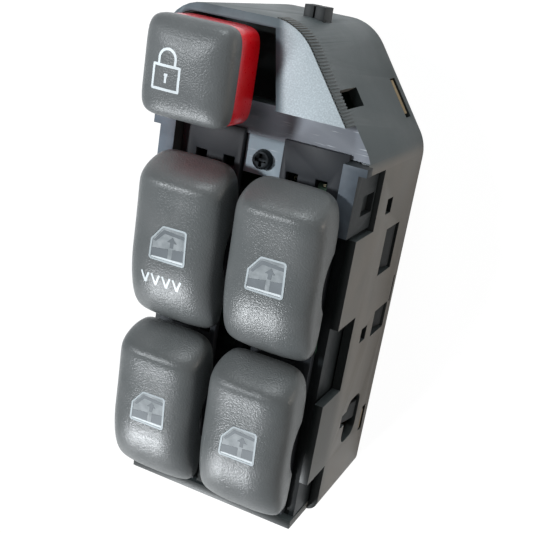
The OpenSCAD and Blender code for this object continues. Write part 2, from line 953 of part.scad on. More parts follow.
module cap_skin(half_x, far, near, rim, top) {
    ring_skin(
        [for (s = cap_rings) [for (a = plan_angles()) cap_point(s, a, half_x, far, near, rim, top)]],
        [0, 0, top]
    );
}

// Hollow under the cap, with a flat ceiling that the lever's post meets
module cap_hollow() {
    half_x = cap_w / 2 - cap_wall;
    far = cap_far - cap_wall;
    near = cap_near - cap_wall;
    steps = [[1, rim_level - eps], [0.985, rim_level + 2], [0.93, post_top - 1.5], [0.84, post_top + 0.02]];
    rings = [
        for (step = steps)
            [for (a = plan_angles())
                let(p = step[0] * cap_plan(a, half_x, far, near))
                [p[0], p[1], step[1]]]
    ];
    n = plan_steps;
    points = [for (ring = rings) each ring];
    sides = [
        for (r = [0:2], i = [0:n - 1])
            [r * n + i, (r + 1) * n + i, (r + 1) * n + (i + 1) % n, r * n + (i + 1) % n]
    ];
    top = [for (i = [0:n - 1]) 4 * n - 1 - i];
    polyhedron(points = points, faces = concat([[for (i = [0:n - 1]) i]], sides, [top]), convexity = 4);
}

lens_t = 1.2;
icon_h = 0.92 * icon_w;
icon_low = -0.4 * icon_h;
lens_outline = [
    [-icon_w / 2, icon_low],
    [icon_w / 2, icon_low],
    [icon_w / 2 - 0.2, icon_low + icon_h - 0.6],
    [icon_w / 2 - 0.8, icon_low + icon_h],
    [-icon_w / 5, icon_low + icon_h],
    [-icon_w / 2, icon_low + 0.57 * icon_h]
];

// Radius of the arch in the lower rim, from its chord and height
arch_r = (pow(arch_len / 2, 2) + pow(arch_h, 2)) / (2 * arch_h);

module rocker_cap(place) {
    color([0.28, 0.27, 0.27])
        translate([place[0], place[1], 0])
            difference() {
                cap_skin(cap_w / 2, cap_far, cap_near, rim_level, face_level);
                cap_hollow();
                translate([0, 0, face_level - lens_t])
                    linear_extrude(lens_t + 2)
                        polygon(lens_outline);
                rod_x(arch_r, cap_w + 2, [0, 0, rim_level + arch_h - arch_r]);
            }
}

module icon_lens(place) {
    color([0.75, 0.78, 0.78])
        translate([place[0], place[1], face_level - lens_t])
            linear_extrude(lens_t)
                polygon([for (p = lens_outline) p * 0.985]);
}

module rocker_lever(place) {
    color([0.12, 0.12, 0.13])
        difference() {
            union() {
                rod_x(hub_r, hub_w, [place[0], place[1], pivot_level]);
                block(place, [hub_w, 2 * hub_r], spring_h + spring_t + heel_gap, rim_level);
                block(place, [post_w, post_len], rim_level - 0.1, post_top);
                block(place, [arm_w, arm_t], tip_h, pivot_level);
                rod_x(tip_r, arm_w, [place[0], place[1], tip_h]);
            }
            rod_x(pin_r - 0.01 + run_gap, hub_w + 2, [place[0], place[1], pivot_level]);
            block(place, [post_w - 3, post_len - 3], rim_level + 1.5, post_top + eps);
        }
}

module contact_slider(place) {
    color([0.85, 0.82, 0.74])
        difference() {
            block(place, [slider_w, slider_len], slider_base, slider_base + slider_h);
            block(place, [arm_w + 0.6, 2 * tip_r + 0.24], slider_base + 1.2, slider_base + slider_h + eps);
            block(place, [slider_w - 1.6, 2.4], slider_base - eps, slider_base + 0.8);
        }
}

module contact_wiper(place) {
    color([0.72, 0.42, 0.2])
        union() {
            block(place, [slider_w - 1.8, 2.2], slider_base + 0.3, slider_base + 0.78);
            for (dx = [-3, 3])
                block(place + [dx, 0], [1.4, 1.4], slider_base - slide_gap + 0.04, slider_base + 0.35);
        }
}

// Flat spring across the well; the lever's heel presses one half of it down
module return_spring(place) {
    color([0.7, 0.71, 0.73])
        difference() {
            union() {
                block(place, [spring_w, well_len - 0.4], spring_h, spring_h + spring_t);
                for (dy = [-1, 1])
                    block(
                        place + [0, dy * (well_len / 2 - 0.2 - spring_t / 2)],
                        [spring_w, spring_t],
                        spring_h - spring_leg,
                        spring_h + spring_t
                    );
            }
            block(place, [arm_w + 1.2, arm_t + 3.4], spring_h - eps, spring_h + 1);
        }
}

module driver_cap() {
    rocker_cap(DRIVER);
}

module passenger_cap() {
    rocker_cap(PASSENGER);
}

module rear_left_cap() {
    rocker_cap(REAR_LEFT);
}

module rear_right_cap() {
    rocker_cap(REAR_RIGHT);
}

// Lock button
lock_plan_power = 0.3;
function lock_plan(angle, half_x, half_y) =
    [half_x * soft(cos(angle), lock_plan_power), half_y * soft(sin(angle), lock_plan_power)];
lock_shoulder = 3.3;
function lock_ring(s, half_x, half_y, rim, top) = [
    for (a = plan_angles())
        let(p = s * lock_plan(a, half_x, half_y))
        [p[0], p[1], rim + (top - 0.45 * s * s - rim) * pow(1 - pow(s, lock_shoulder), 1 / lock_shoulder)]
];
lock_rings = [1, 0.995, 0.98, 0.95, 0.9, 0.82, 0.7, 0.5, 0.28];
lock_neck_inset = 1.8;
lock_ceiling = lock_top - 2.7;

module lock_cap() {
    color([0.33, 0.33, 0.33])
        translate([lock_place[0], lock_place[1], 0])
            difference() {
                ring_skin(
                    [for (s = lock_rings) lock_ring(s, lock_w / 2, lock_len / 2, lock_rim_level, lock_top)],
                    [0, 0, lock_top]
                );
                translate([0, 0, lock_rim_level - eps])
                    linear_extrude(lock_ceiling - lock_rim_level + eps)
                        polygon([
                            for (a = plan_angles())
                                lock_plan(a, lock_w / 2 - lock_neck_inset, lock_len / 2 - lock_neck_inset)
                        ]);
            }
}

module sleeve_prism(inset, low, high) {
    translate([lock_place[0], lock_place[1], low])
        linear_extrude(high - low)
            polygon([for (a = plan_angles()) lock_plan(a, lock_w / 2 - inset, lock_len / 2 - inset)]);
}

sleeve_wall = 1.5;
sleeve_top_t = 1.4;

module lock_sleeve() {
    color([0.75, 0.02, 0.08])
        difference() {
            union() {
                sleeve_prism(0.15, sleeve_level, lock_rim_level - 0.05);
                sleeve_prism(lock_neck_inset + 0.06, lock_rim_level - 0.3, lock_ceiling - 0.02);
            }
            sleeve_prism(sleeve_wall + 0.15, sleeve_level - eps, lock_rim_level - sleeve_top_t);
            block(lock_place, [3.06, 3.06], sleeve_level, lock_ceiling - 0.8);
            sleeve_prism(lock_neck_inset + 1.6, lock_rim_level, lock_ceiling + eps);
        }
}

stem_w = 3;
collar_t = 1;
lock_case_w = 11;
lock_case_h = 5.8;
cam_depth = 0.6;
latch_pin_r = 0.3;
latch_pin_h = board_level + lock_travel + 1.7;

module lock_stem() {
    color([0.88, 0.86, 0.8])
        difference() {
            union() {
                block(lock_place, [stem_w, stem_w], board_level + lock_travel + 0.4, lock_rim_level - sink);
                translate([lock_place[0], lock_place[1], lock_rim_level - sleeve_top_t - collar_t])
                    cylinder(r = coil_r + 1, h = collar_t, $fn = 40);
            }
            block(
                lock_place + [stem_w / 2, 0],
                [2 * cam_depth, 1.4],
                latch_pin_h - latch_pin_r - 0.2,
                latch_pin_h + latch_pin_r + 0.2 + lock_travel
            );
        }
}

module lock_switch_case() {
    color([0.1, 0.1, 0.11])
        difference() {
            block(lock_place, [lock_case_w, lock_case_w], board_level, board_level + lock_case_h);
            block(
                lock_place,
                [lock_case_w - 2.4, lock_case_w - 2.4],
                board_level - eps,
                board_level + lock_case_h - 1
            );
            block(
                lock_place,
                [stem_w + 0.4, stem_w + 0.4],
                board_level,
                board_level + lock_case_h + eps
            );
        }
}

module lock_latch_pin() {
    tip_x = lock_place[0] + stem_w / 2 - cam_depth + 0.25;
    reach = 1.9;
    color([0.75, 0.75, 0.77])
        union() {
            translate([tip_x + reach, lock_place[1], board_level])
                cylinder(r = latch_pin_r, h = latch_pin_h - board_level, $fn = 24);
            rod_x(latch_pin_r, reach, [tip_x + reach / 2, lock_place[1], latch_pin_h]);
        }
}

// Coil spring between the pocket's floor and the stem's collar
coil_r = 3.4;
coil_wire = 0.35;
coil_turns = 7;
coil_steps = 14;
coil_sides = 6;
function coil_point(t, low, high) =
    [coil_r * cos(360 * t), coil_r * sin(360 * t), low + (high - low) * t / coil_turns];

module lock_spring() {
    low = pocket_floor + coil_wire + 0.05;
    high = lock_rim_level - sleeve_top_t - collar_t - coil_wire - 0.05;
    count = coil_turns * coil_steps;
    points = [
        for (i = [0:count], k = [0:coil_sides - 1])
            let(
                t = i / coil_steps,
                middle = coil_point(t, low, high),
                a = 360 * k / coil_sides,
                out = [cos(360 * t), sin(360 * t), 0]
            )
            middle + coil_wire * (cos(a) * out + sin(a) * [0, 0, 1])
    ];
    skin = [
        for (i = [0:count - 1], k = [0:coil_sides - 1])
            let(a = i * coil_sides, b = a + coil_sides, m = (k + 1) % coil_sides)
            [a + k, a + m, b + m, b + k]
    ];
    ends = [
        [for (k = [0:coil_sides - 1]) coil_sides - 1 - k],
        [for (k = [0:coil_sides - 1]) count * coil_sides + k]
    ];
    color([0.72, 0.73, 0.75])
        translate([lock_place[0], lock_place[1], 0])
            polyhedron(points = points, faces = concat(skin, ends), convexity = 10);
}

outer_housing();
base_cover();
main_board();
connector_shroud();
connector_pins();
auto_down_relay();
link_header();
link_pins();
contact_board();
switch_carrier();
left_cover_plate();
right_cover_plate();
case_screws();
end_clip();
icon_lamps();
pivot_pins();
driver_cap();
passenger_cap();
rear_left_cap();
rear_right_cap();
icon_lens(DRIVER);  // driver_lens
icon_lens(PASSENGER);  // passenger_lens
icon_lens(REAR_LEFT);  // rear_left_lens
icon_lens(REAR_RIGHT);  // rear_right_lens
rocker_lever(DRIVER);  // driver_lever
rocker_lever(PASSENGER);  // passenger_lever
rocker_lever(REAR_LEFT);  // rear_left_lever
rocker_lever(REAR_RIGHT);  // rear_right_lever
contact_slider(DRIVER);  // driver_slider
contact_slider(PASSENGER);  // passenger_slider
contact_slider(REAR_LEFT);  // rear_left_slider
contact_slider(REAR_RIGHT);  // rear_right_slider
contact_wiper(DRIVER);  // driver_wiper
contact_wiper(PASSENGER);  // passenger_wiper
contact_wiper(REAR_LEFT);  // rear_left_wiper
contact_wiper(REAR_RIGHT);  // rear_right_wiper
return_spring(DRIVER);  // driver_return_spring
return_spring(PASSENGER);  // passenger_return_spring
return_spring(REAR_LEFT);  // rear_left_return_spring
return_spring(REAR_RIGHT);  // rear_right_return_spring
lock_cap();
lock_sleeve();
lock_stem();
lock_spring();
lock_switch_case();
lock_latch_pin();
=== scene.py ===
import bmesh
import bpy
import json
import math
import numpy as np
from mathutils import Matrix, Vector


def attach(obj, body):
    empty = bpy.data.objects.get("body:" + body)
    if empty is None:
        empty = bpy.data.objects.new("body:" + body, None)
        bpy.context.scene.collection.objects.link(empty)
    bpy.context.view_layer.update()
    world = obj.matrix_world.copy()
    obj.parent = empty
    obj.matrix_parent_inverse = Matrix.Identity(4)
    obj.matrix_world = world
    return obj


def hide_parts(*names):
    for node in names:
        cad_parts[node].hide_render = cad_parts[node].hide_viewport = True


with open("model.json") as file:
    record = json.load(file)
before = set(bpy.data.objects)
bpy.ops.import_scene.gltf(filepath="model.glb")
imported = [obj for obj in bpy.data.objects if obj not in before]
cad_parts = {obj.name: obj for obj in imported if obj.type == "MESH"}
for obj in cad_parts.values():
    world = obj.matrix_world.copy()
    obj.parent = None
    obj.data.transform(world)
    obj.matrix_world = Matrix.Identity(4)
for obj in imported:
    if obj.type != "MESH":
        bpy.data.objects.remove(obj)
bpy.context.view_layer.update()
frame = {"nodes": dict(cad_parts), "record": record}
mm = 0.001
print("frame loaded:", len(frame["nodes"]), "nodes")

# The camera stands where the photograph was taken from
camera = {"place": (0.0828, 0.0734, 0.2230), "turn": (-16.79, 24.17, 10.41), "lens": 62.54, "shift": (-0.049, 0.0535)}

cameraData = bpy.data.cameras.new("camera")
cameraData.lens = camera["lens"]
cameraData.shift_x, cameraData.shift_y = camera["shift"]
cameraData.clip_start, cameraData.clip_end = 0.01, 10
cameraObject = bpy.data.objects.new("camera", cameraData)
cameraObject.location = camera["place"]
cameraObject.rotation_euler = [math.radians(a) for a in camera["turn"]]
bpy.context.scene.collection.objects.link(cameraObject)
bpy.context.scene.camera = cameraObject
bpy.context.scene.view_settings.view_transform = "Standard"


# One socket of a finish. Plus, minus, times and the like each add a Math node.
class Wire:
    def __init__(self, finish, socket):
        self.finish, self.socket = finish, socket

    def math(self, operation, *others, first=None):
        values = [self, *others] if first is None else [first, self]
        names = {i: v for i, v in enumerate(values)}
        return self.finish.node("ShaderNodeMath", {"operation": operation}, names)

    def __add__(self, other): return self.math("ADD", other)
    def __radd__(self, other): return self.math("ADD", other)
    def __sub__(self, other): return self.math("SUBTRACT", other)
    def __rsub__(self, other): return self.math("SUBTRACT", first=other)
    def __mul__(self, other): return self.math("MULTIPLY", other)
    def __rmul__(self, other): return self.math("MULTIPLY", other)
    def __truediv__(self, other): return self.math("DIVIDE", other)
    def __rtruediv__(self, other): return self.math("DIVIDE", first=other)
    def __pow__(self, other): return self.math("POWER", other)
    def __neg__(self): return self.math("MULTIPLY", -1.0)
    def __abs__(self): return self.math("ABSOLUTE")

    # 0 below low, 1 above high, and a soft step between them
    def step(self, low, high):
        settings = {"interpolation_type": "SMOOTHSTEP"}
        return self.finish.node("ShaderNodeMapRange", settings, {0: self, 1: low, 2: high, 3: 0.0, 4: 1.0})

    def least(self, other): return self.math("MINIMUM", other)
    def most(self, other): return self.math("MAXIMUM", other)


# One material: its Principled shader and the nodes that feed it
class Finish:
    def __init__(self, name, **sockets):
        self.material = bpy.data.materials.new(name)
        self.material.use_nodes = True
        self.tree = self.material.node_tree
        self.shader = self.tree.nodes["Principled BSDF"]
        self.places = {}
        for key, value in sockets.items():
            self.feed(self.shader.inputs[key.replace("_", " ")], value)

    def feed(self, socket, value):
        if isinstance(value, Wire):
            self.tree.links.new(value.socket, socket)
        else:
            socket.default_value = value

    # Any node: settings are set first, then its sockets get values or links
    def node(self, kind, settings=None, sockets=None, out=0):
        made = self.tree.nodes.new(kind)
        for key, value in (settings or {}).items():
            if key == "stops":
                ramp = made.color_ramp.elements
                while len(ramp) < len(value):
                    ramp.new(1.0)
                for element, (at, colour) in zip(ramp, value):
                    element.position, element.color = at, (*colour, 1.0)
            else:
                setattr(made, key, value)
        for key, value in (sockets or {}).items():
            self.feed(made.inputs[key], value)
        return Wire(self, made.outputs[out])

    # Object coordinates as a vector wire, and one of their axes in millimetres
    def here(self):
        if "here" not in self.places:
            self.places["here"] = self.node("ShaderNodeTexCoord", out="Object")
        return self.places["here"]

    def axis(self, letter):
        if "split" not in self.places:
            self.places["split"] = self.node("ShaderNodeSeparateXYZ", sockets={0: self.here()}).socket.node
        return Wire(self, self.places["split"].outputs[letter]) * 1000.0

    def facing(self, letter):
        if "normal" not in self.places:
            normal = self.node("ShaderNodeNewGeometry", out="Normal")
            self.places["normal"] = self.node("ShaderNodeSeparateXYZ", sockets={0: normal}).socket.node
        return Wire(self, self.places["normal"].outputs[letter])

    # Fine noise from 0 to 1, its grain given in millimetres
    def grain(self, size, detail=2.0, roughness=0.5, stretch=None):
        at = self.here()
        if stretch:
            at = self.node("ShaderNodeMapping", sockets={0: at, 3: stretch})
        sockets = {"Vector": at, "Scale": 1000.0 / size, "Detail": detail, "Roughness": roughness}
        return self.node("ShaderNodeTexNoise", {"noise_dimensions": "3D"}, sockets)

    def cells(self, size, randomness=1.0):
        sockets = {"Vector": self.here(), "Scale": 1000.0 / size, "Randomness": randomness}
        return self.node("ShaderNodeTexVoronoi", {"feature": "F1"}, sockets)

    # Colour between two others
    def mix(self, amount, low, high, blend="MIX"):
        settings = {"data_type": "RGBA", "blend_type": blend}
        low, high = [v if isinstance(v, Wire) else (*v, 1.0) for v in (low, high)]
        return self.node("ShaderNodeMix", settings, {0: amount, 6: low, 7: high}, out=2)

    def paint(self, **wires):
        for key, value in wires.items():
            self.feed(self.shader.inputs[key.replace("_", " ")], value)
        return self

    def bump(self, height, strength, distance):
        sockets = {"Height": height, "Strength": strength, "Distance": distance * mm}
        return self.paint(Normal=self.node("ShaderNodeBump", sockets=sockets))


# Finishes. Colours are linear, and grain sizes are in millimetres.
capLook = {
    "colour": (0.103, 0.111, 0.112), "worn": (0.122, 0.128, 0.129), "rough": 0.325, "grain": 0.38,
    "relief": 0.028, "mottle": 9.0
}


def satinPlastic(name, look):
    finish = Finish(name, IOR=1.47)
    mottle = finish.grain(look["mottle"], 3.0).step(0.35, 0.75)
    fine = finish.grain(look["grain"], 1.5, 0.6)
    height = fine.step(0.30, 0.70)
    finish.paint(
        Base_Color=finish.mix(mottle, look["colour"], look["worn"]),
        Roughness=fine * 0.14 + mottle * 0.05 + (look["rough"] - 0.09)
    )
    return finish.bump(height, 1.0, look["relief"])


capFinish = satinPlastic("cap_plastic", capLook)
lockFinish = satinPlastic("lock_grey", {
    "colour": (0.105, 0.112, 0.114), "worn": (0.122, 0.129, 0.131), "rough": 0.38, "grain": 0.38,
    "relief": 0.026, "mottle": 7.0
})

# Housing colours. The deck, ledge and tongue colours are a painted sheen on up-facing faces. The slope colour is a
# painted shade on faces turned toward +Y. The rim and dark colours are painted shade. The scratches are real wear.
housingLook = {
    "wall": (0.200, 0.184, 0.164), "wallShade": (0.090, 0.092, 0.086), "slope": (0.070, 0.086, 0.090),
    "deck": (0.38, 0.43, 0.46), "deckPale": (0.50, 0.56, 0.59), "rim": (0.075, 0.110, 0.130),
    "ledge": (0.255, 0.275, 0.315), "scratch": (0.70, 0.74, 0.78), "tongue": (0.42, 0.50, 0.56),
    "dark": (0.010, 0.014, 0.014), "grit": 0.36,
    "deckLevel": 45.0, "ledgeLevel": 39.0, "ledgeEdge": 32.2, "deckEdge": 39.4, "deckLeft": 3.9, "lean": 0.157
}


def housingPlastic(look):
    finish = Finish("housing_plastic", Specular_IOR_Level=0.4)
    x, y, z = (finish.axis(a) for a in "XYZ")
    up = finish.facing("Z").step(0.80, 0.95)
    slope = (finish.facing("Y") + finish.facing("X") * 0.15).step(0.25, 0.55)
    cloud = finish.grain(14.0, 4.0, 0.6).step(0.3, 0.7)
    grit = finish.grain(look["grit"], 2.0, 0.7)
    lines = finish.node("ShaderNodeMapping", sockets={0: finish.here(), 2: (0.0, 0.0, 0.45), 3: (0.10, 1.6, 1.0)})
    scratch = finish.node("ShaderNodeTexNoise", sockets={"Vector": lines, "Scale": 1500.0, "Detail": 3.0}).step(0.60, 0.72)
    scratch = scratch * finish.grain(6.0, 2.0).step(0.45, 0.65)
    wall = finish.mix(cloud * 0.35 + 0.65, look["wallShade"], look["wall"])
    wall = finish.mix(z.step(24.0, 32.0) * (0.8 - y.step(-26.0, 2.0) * 0.8), wall, look["wallShade"])
    # Painted shade: faces turned toward +Y are darker and bluer
    wall = finish.mix(slope, wall, look["slope"])
    # Painted sheen on the up-facing deck, paler in a sandy speckle
    deckTone = finish.mix(grit.step(0.40, 0.68), look["deck"], look["deckPale"])
    # Painted shade along the deck's edge beside the lock pocket, blotched towards near black
    edge = (x + (y - look["deckEdge"]) * look["lean"] - look["deckLeft"]).step(0.1, 2.6)
    pocketEdgeShade = finish.mix(cloud * 0.6, look["rim"], look["dark"])
    deckTone = finish.mix(edge, pocketEdgeShade, deckTone)
    # Painted sheen on the up-facing ledge and screw tongue, with real scratches over it
    tongue = (1.0 - abs(x).step(4.9, 5.1)) * y.step(10.0, 11.0)
    ledgeTone = finish.mix((y - look["ledgeEdge"]).step(-0.3, 0.1), look["tongue"], look["ledge"])
    ledgeTone = finish.mix(scratch, ledgeTone, look["scratch"])
    onDeck = up * z.step(look["deckLevel"] - 0.2, look["deckLevel"] - 0.1)
    onLedge = up * (1.0 - z.step(44.0, 44.2)) * z.step(look["ledgeLevel"] - 0.7, look["ledgeLevel"] - 0.6)
    onLedge = onLedge * (y - look["ledgeEdge"]).step(-0.1, 0.0).most(tongue)
    # Painted shade: every other up-facing face of the housing is near black
    tone = finish.mix(up, wall, look["dark"])
    tone = finish.mix(onLedge, finish.mix(onDeck, tone, deckTone), ledgeTone)
    finish.paint(
        Base_Color=tone,
        Roughness=0.40 + cloud * 0.08 - onLedge * 0.06 + grit * 0.06
    )
    return finish.bump(grit * 0.6 + finish.grain(1.6, 2.0) * 0.4, 1.0, 0.020)


housingFinish = housingPlastic(housingLook)


# Plain moulded plastic: a colour with soft clouds, a fine grain and, when a top colour is given, a painted sheen on
# up-facing faces
def mouldedPlastic(name, colour, rough=0.5, grain=0.4, relief=0.012, top=None, cloud=0.25, **more):
    finish = Finish(name, **more)
    clouds = finish.grain(11.0, 4.0, 0.6).step(0.3, 0.7)
    fine = finish.grain(grain, 2.0, 0.6)
    pale = tuple(c * (1.0 + cloud) for c in colour)
    tone = finish.mix(clouds, colour, pale)
    # Painted sheen on up-facing faces, when a top colour is given
    if top:
        tone = finish.mix(finish.facing("Z").step(0.75, 0.95) * (0.75 + clouds * 0.25), tone, top)
    finish.paint(Base_Color=tone, Roughness=fine * 0.12 + clouds * 0.05 + (rough - 0.08))
    return finish.bump(fine, 1.0, relief)


carrierLook = {"colour": (0.012, 0.015, 0.016), "top": (0.13, 0.155, 0.185), "topLevel": 41.9, "rough": 0.46}


def carrierPlastic(look):
    finish = Finish("carrier_plastic", Specular_IOR_Level=0.22)
    clouds = finish.grain(7.0, 4.0, 0.6).step(0.3, 0.7)
    fine = finish.grain(0.4, 2.0, 0.6)
    # Painted sheen: up-facing faces above the top level are paler blue-grey, while the rest stays near black
    top = finish.facing("Z").step(0.75, 0.95) * finish.axis("Z").step(look["topLevel"] - 0.1, look["topLevel"])
    tone = finish.mix(top * (0.7 + clouds * 0.3), finish.mix(clouds, look["colour"], (0.020, 0.024, 0.026)), look["top"])
    finish.paint(Base_Color=tone, Roughness=fine * 0.12 + clouds * 0.06 + (look["rough"] - 0.08))
    return finish.bump(fine, 1.0, 0.012)


# Metal: a brushed tone with fine lines along Y and a few dull spots
def plainMetal(name, colour, rough=0.3, along=(1.0, 0.05, 1.0)):
    finish = Finish(name, Metallic=1.0)
    lines = finish.grain(0.25, 2.0, 0.6, stretch=along)
    spots = finish.grain(2.5, 3.0).step(0.5, 0.8)
    finish.paint(
        Base_Color=finish.mix(spots * 0.4, colour, tuple(c * 0.6 for c in colour)),
        Roughness=lines * 0.12 + spots * 0.1 + rough
    )
    return finish.bump(lines, 0.6, 0.004)


# Laminate: glass cloth that shows through a thin resin
def laminate(name, colour, dark):
    finish = Finish(name)
    x, y = finish.axis("X"), finish.axis("Y")
    weave = ((x * 6.0).math("SINE") * (y * 6.0).math("SINE")) * 0.5 + 0.5
    cloud = finish.grain(5.0, 3.0).step(0.3, 0.7)
    finish.paint(Base_Color=finish.mix(weave * 0.35 + cloud * 0.4, colour, dark), Roughness=0.42 + weave * 0.12)
    return finish.bump(weave, 0.5, 0.006)


redFinish = Finish("red_plastic", IOR=1.50, Coat_Weight=0.5, Coat_Roughness=0.12)
redCloud = redFinish.grain(6.0, 3.0).step(0.3, 0.7)
# Faces turned toward +Y are painted a paler pink: a painted sheen on the sleeve's far side
redFinish.paint(
    Base_Color=redFinish.mix(
        redFinish.facing("Y").step(0.5, 0.9), redFinish.mix(redCloud, (0.72, 0.002, 0.008), (0.84, 0.004, 0.014)),
        (0.74, 0.035, 0.050)
    ),
    Roughness=0.24 + redFinish.grain(0.6, 2.0) * 0.10
)
redFinish.bump(redFinish.grain(1.2, 2.0), 0.8, 0.008)

lensFinish = Finish("icon_lens", IOR=1.49, Transmission_Weight=0.25, Coat_Weight=0.3)
lensCloud = lensFinish.grain(2.2, 3.0, 0.6).step(0.3, 0.75)
lensFinish.paint(
    Base_Color=lensFinish.mix(lensCloud, (0.30, 0.33, 0.345), (0.44, 0.47, 0.49)),
    Roughness=0.28 + lensCloud * 0.14
)
lensFinish.bump(lensFinish.grain(0.7, 2.0), 0.6, 0.010)

finishes = {
    "housing_plastic": housingFinish,
    "cap_plastic": capFinish,
    "lock_grey": lockFinish,
    "red_plastic": redFinish,
    "icon_lens": lensFinish,
    "cover_plastic": mouldedPlastic("cover_plastic", (0.020, 0.022, 0.023), 0.55, Specular_IOR_Level=0.25),
    "black_plastic": mouldedPlastic("black_plastic", (0.012, 0.014, 0.015), 0.5, Specular_IOR_Level=0.3),
    "carrier_plastic": carrierPlastic(carrierLook),
    "plate_plastic": mouldedPlastic("plate_plastic", (0.022, 0.025, 0.030), 0.52, cloud=0.4, Specular_IOR_Level=0.35),
    "slider_acetal": mouldedPlastic("slider_acetal", (0.62, 0.60, 0.54), 0.45),
    "board_laminate": laminate("board_laminate", (0.36, 0.27, 0.15), (0.26, 0.19, 0.10)),
    "contact_laminate": laminate("contact_laminate", (0.03, 0.10, 0.045), (0.015, 0.06, 0.03)),
    "black_screw": plainMetal("black_screw", (0.018, 0.020, 0.022), 0.38),
    "tinned_pin": plainMetal("tinned_pin", (0.72, 0.66, 0.45), 0.25),
    "steel": plainMetal("steel", (0.62, 0.63, 0.64), 0.28),
    "copper": plainMetal("copper", (0.72, 0.38, 0.20), 0.30),
    "lamp_glass": mouldedPlastic("lamp_glass", (0.85, 0.84, 0.78), 0.2, Transmission_Weight=0.6, IOR=1.5)
}
slotOf = {part["node"]: part["material_slot"] for part in frame["record"]["subparts"]}
for nodeName, node in frame["nodes"].items():
    node.data.materials.clear()
    node.data.materials.append(finishes[slotOf[nodeName]].material)
print("finishes made:", len(finishes))


def bodyOf(nodeName):
    return next(body for body, nodes in frame["record"]["behaviour"]["bodies"].items() if nodeName in nodes)


# Puts numpy points and faces into a new mesh object
def meshPiece(name, points, faces, slot, body, angle=35.0):
    mesh = bpy.data.meshes.new(name)
    mesh.from_pydata(np.asarray(points, float).reshape(-1, 3).tolist(), [], [list(map(int, f)) for f in faces])
    mesh.validate()
    piece = bpy.data.objects.new(name, mesh)
    bpy.context.scene.collection.objects.link(piece)
    return dress(piece, slot, body, angle)


def dress(piece, slot, body, angle=35.0):
    mesh = piece.data
    mesh.materials.clear()
    mesh.materials.append(finishes[slot].material)
    mesh.polygons.foreach_set("use_smooth", np.ones(len(mesh.polygons), bool))
    mesh.set_sharp_from_angle(angle=math.radians(angle))
    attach(piece, body)
    return piece


# Applies the modifiers of a piece and leaves the plain mesh
def applyAll(piece):
    graph = bpy.context.evaluated_depsgraph_get()
    done = bpy.data.meshes.new_from_object(piece.evaluated_get(graph))
    old = piece.data
    piece.modifiers.clear()
    piece.data = done
    bpy.data.meshes.remove(old)
    return piece


# A copy of a CAD node with merged faces and small rounded edges, which then stands for the node
def softened(nodeName, width, segments=2, angle=35.0):
    source = frame["nodes"][nodeName]
    mesh = source.data.copy()
    work = bmesh.new()
    work.from_mesh(mesh)
    bmesh.ops.remove_doubles(work, verts=work.verts, dist=2e-6)
    bmesh.ops.dissolve_limit(work, angle_limit=math.radians(0.5), verts=work.verts, edges=work.edges)
    work.to_mesh(mesh)
    work.free()
    mesh.attributes.remove(mesh.attributes["sharp_edge"]) if "sharp_edge" in mesh.attributes else None
    piece = bpy.data.objects.new(nodeName + "_moulding", mesh)
    bpy.context.scene.collection.objects.link(piece)
    bevel = piece.modifiers.new("edges", "BEVEL")
    bevel.width, bevel.segments = width * mm, segments
    bevel.limit_method, bevel.angle_limit = "ANGLE", math.radians(40)
    bevel.use_clamp_overlap = True
    bevel.harden_normals = False
    applyAll(piece)
    dress(piece, slotOf[nodeName], bodyOf(nodeName), angle)
    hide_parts(nodeName)
    return piece


for nodeName, width in {
    "outer_housing": 0.25, "switch_carrier": 0.2, "left_cover_plate": 0.15, "right_cover_plate": 0.15,
    "case_screws": 0.12, "end_clip": 0.2, "base_cover": 0.15, "connector_shroud": 0.2, "main_board": 0.08
}.items():
    softened(nodeName, width)
print("mouldings softened")

# Rocker caps, with the sizes of the CAD caps
cap = {
    "halfWidth": 11.0, "far": 19.7, "near": 19.3, "bow": 0.6, "powers": (0.36, 0.21), "rim": 46.2, "face": 55.0,
    "ridge": 0.95, "roll": 0.8, "crown": 0.034, "flat": 3.0, "ridgeAt": 14.0, "bendAt": -2.0, "shoulder": 6.0, "wall": 1.6, "ceiling": 51.6,
    "archLength": 14.0, "archHeight": 3.0, "around": 220, "rings": 72
}
places = {"driver": (-12.0, 6.5), "passenger": (12.0, 6.5), "rear_left": (-12.0, -34.2), "rear_right": (12.0, -34.2)}


def soft(value, power):
    return np.sign(value) * np.abs(value) ** power


# Resamples a closed line of points at equal steps along it
def evenLoop(points, count):
    closed = np.vstack([points, points[:1]])
    along = np.concatenate([[0], np.cumsum(np.linalg.norm(np.diff(closed, axis=0), axis=1))])
    at = np.linspace(0, along[-1], count, endpoint=False)
    return np.stack([np.interp(at, along, closed[:, k]) for k in range(closed.shape[1])], axis=1)


# Plan of a cap: a superellipse, x and y being soft powers of cosine and sine, whose near side bows out
def capPlan(inset, count):
    a = np.linspace(0, 2 * math.pi, 4000, endpoint=False)
    power = np.where(np.sin(a) > 0, *cap["powers"])
    u, v = soft(np.cos(a), power), soft(np.sin(a), power)
    halfWidth, far, near, bow = cap["halfWidth"] - inset, cap["far"] - inset, cap["near"] - inset, cap["bow"]
    y = np.where(v > 0, v * far, v * (near - bow * u * u))
    return evenLoop(np.stack([halfWidth * u, y], axis=1), count)


